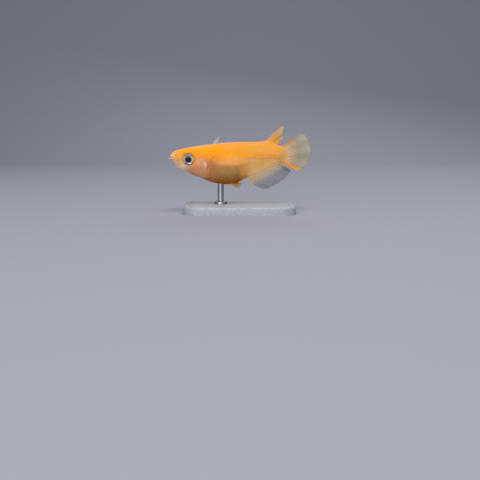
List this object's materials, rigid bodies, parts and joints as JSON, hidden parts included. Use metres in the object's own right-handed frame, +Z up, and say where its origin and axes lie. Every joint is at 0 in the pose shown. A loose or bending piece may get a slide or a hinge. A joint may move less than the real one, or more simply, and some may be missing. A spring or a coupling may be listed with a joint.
{
  "type": "orange ricefish museum model",
  "caption": "Life-size small orange fish with a plump belly, large eyes and clear rayed fins, held over a flat display base by one short rod.",
  "frame": {"origin": "centre of the underside of the stand's base, which is the bottom centre of the whole model", "axes": "+X from the fish's head to its tail, +Y to its right side, +Z up; at rest the base lies flat on a surface"},
  "size_m": [0.036, 0.018, 0.022],
  "materials": {
    "skin": "moist orange skin with fine scales, browner on the belly",
    "eye": "polished, black pupil in an olive and silver-blue iris",
    "fin": "thin clear membrane with pale rays, orange at the edges",
    "stand_plate": "satin grey",
    "stand_metal": "satin steel"
  },
  "bodies": {
    "root": {"head": "skin", "lower_jaw": "skin", "torso": "skin", "tail": "skin", "eye_left": "eye", "eye_right": "eye", "dorsal_fin": "fin", "anal_fin": "fin", "caudal_fin": "fin", "pectoral_fin_left": "fin", "pectoral_fin_right": "fin", "pelvic_fin_left": "fin", "pelvic_fin_right": "fin", "stand_base": "stand_plate", "stand_rod": "stand_metal"}
  },
  "joints": []
}
